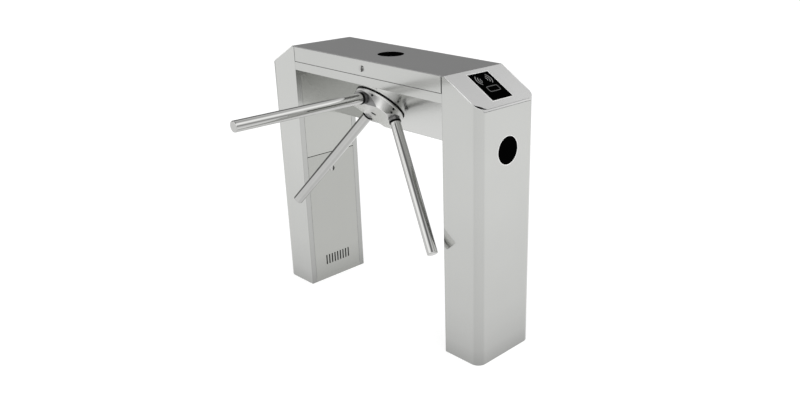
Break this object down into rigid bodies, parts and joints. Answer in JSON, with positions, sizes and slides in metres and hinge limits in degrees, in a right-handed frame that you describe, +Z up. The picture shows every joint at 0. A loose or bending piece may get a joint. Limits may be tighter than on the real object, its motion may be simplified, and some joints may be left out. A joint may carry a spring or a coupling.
{
  "type": "tripod turnstile",
  "caption": "Bridge-shaped steel tripod turnstile: rotating three-arm head on a slanted face between two columns with sloped reader caps, hinged lid and access panels.",
  "frame": {"origin": "floor level, midway between the two columns and midway through their depth", "axes": "+X along the cabinet from the left to the right column as seen from the arms' side, -Y towards the arms' side, +Z up"},
  "size_m": [1.112, 0.795, 1],
  "materials": {
    "cabinet_steel": "brushed stainless sheet, satin",
    "panel_steel": "brushed stainless sheet, satin",
    "top_plate": "dark grey brushed sheet, satin",
    "black_lens": "smoked black, glossy",
    "polished_steel": "mirror-polished stainless",
    "black_steel": "black oxide",
    "bright_steel": "bright plated steel",
    "black_rubber": "matt black",
    "black_plastic": "matt black",
    "light_plastic": "white, matt",
    "plated_steel": "zinc plated",
    "machined_steel": "turned and ground",
    "circuit_board": "green board lacquer",
    "grey_case": "grey powder coat"
  },
  "bodies": {
    "cabinet": {"left_column_shell": "cabinet_steel", "right_column_shell": "cabinet_steel", "left_end_cap": "cabinet_steel", "right_end_cap": "cabinet_steel", "bridge_front_panel": "cabinet_steel", "bridge_back_panel": "cabinet_steel", "left_access_panel": "panel_steel", "right_access_panel": "panel_steel", "left_upper_panel": "panel_steel", "right_upper_panel": "panel_steel", "left_end_lens": "black_lens", "right_end_lens": "black_lens", "left_reader_window": "black_lens", "right_reader_window": "black_lens", "lid_hinge_base": "bright_steel", "lid_hinge_pin": "bright_steel", "gap_shield": "black_plastic", "reader_modules": "black_plastic", "rotary_damper": "black_plastic", "left_solenoid": "black_plastic", "right_solenoid": "black_plastic", "end_light_modules": "light_plastic", "left_base_plate": "plated_steel", "right_base_plate": "plated_steel", "mechanism_plate": "plated_steel", "plate_standoffs": "plated_steel", "damper_bracket": "plated_steel", "pawl_pins": "plated_steel", "shaft_bearings": "machined_steel", "bearing_housing": "machined_steel", "sensor_board": "circuit_board", "control_board": "circuit_board", "power_supply": "grey_case"},
    "tripod": {"main_shaft": "machined_steel", "index_disc": "plated_steel", "encoder_disc": "plated_steel", "hub_disc": "polished_steel", "hub_body": "polished_steel", "hub_fasteners": "black_steel", "arm_1": "polished_steel", "arm_2": "polished_steel", "arm_3": "polished_steel", "arm_cap_1": "polished_steel", "arm_cap_2": "polished_steel", "arm_cap_3": "polished_steel", "arm_seals": "black_rubber"},
    "lid": {"lid_shell": "cabinet_steel", "lid_top_plate": "top_plate", "top_lens": "black_lens", "top_light_module": "light_plastic", "lid_hinge_leaf": "bright_steel"},
    "lid_lock": {"lid_lock": "bright_steel"},
    "left_panel_lock": {"left_panel_lock": "bright_steel"},
    "right_panel_lock": {"right_panel_lock": "bright_steel"},
    "left_pawl": {"left_pawl": "plated_steel"},
    "right_pawl": {"right_pawl": "plated_steel"},
    "left_plunger": {"left_plunger": "plated_steel"},
    "right_plunger": {"right_plunger": "plated_steel"}
  },
  "joints": [
    {"name": "tripod_spin", "type": "hinge", "parent": "cabinet", "child": "tripod", "pos_m": [0, -0.05923, 0.83123], "axis": [0, -0.7071, -0.7071], "continuous": true},
    {"name": "lid_hinge", "type": "hinge", "parent": "cabinet", "child": "lid", "pos_m": [0, 0.138, 0.9425], "axis": [-1, 0, 0], "range_deg": [0, 80]},
    {"name": "lid_lock_turn", "type": "hinge", "parent": "lid", "child": "lid_lock", "pos_m": [0, -0.138, 0.968], "axis": [0, -1, 0], "range_deg": [0, 90]},
    {"name": "left_panel_lock_turn", "type": "hinge", "parent": "cabinet", "child": "left_panel_lock", "pos_m": [-0.394, 0, 0.481], "axis": [-1, 0, 0], "range_deg": [0, 90]},
    {"name": "right_panel_lock_turn", "type": "hinge", "parent": "cabinet", "child": "right_panel_lock", "pos_m": [0.394, 0, 0.481], "axis": [1, 0, 0], "range_deg": [0, 90]},
    {"name": "left_pawl_swing", "type": "hinge", "parent": "cabinet", "child": "left_pawl", "pos_m": [-0.078, -0.03236, 0.93588], "axis": [0, -0.7071, -0.7071], "range_deg": [0, 10], "stiffness_Nm_per_rad": 0.8, "springref_deg": -5.73},
    {"name": "left_plunger_push", "type": "slide", "parent": "cabinet", "child": "left_plunger", "axis": [1, 0, 0], "range_m": [0, 0.0053]},
    {"name": "right_pawl_swing", "type": "hinge", "parent": "cabinet", "child": "right_pawl", "pos_m": [0.078, -0.03236, 0.93588], "axis": [0, 0.7071, 0.7071], "range_deg": [0, 10], "stiffness_Nm_per_rad": 0.8, "springref_deg": -5.73},
    {"name": "right_plunger_push", "type": "slide", "parent": "cabinet", "child": "right_plunger", "axis": [-1, 0, 0], "range_m": [0, 0.0053]}
  ],
  "couplings": [
    {"joint": "left_plunger_push", "follows": "left_pawl_swing", "m_per_rad": 0.03},
    {"joint": "right_plunger_push", "follows": "right_pawl_swing", "m_per_rad": 0.03}
  ]
}
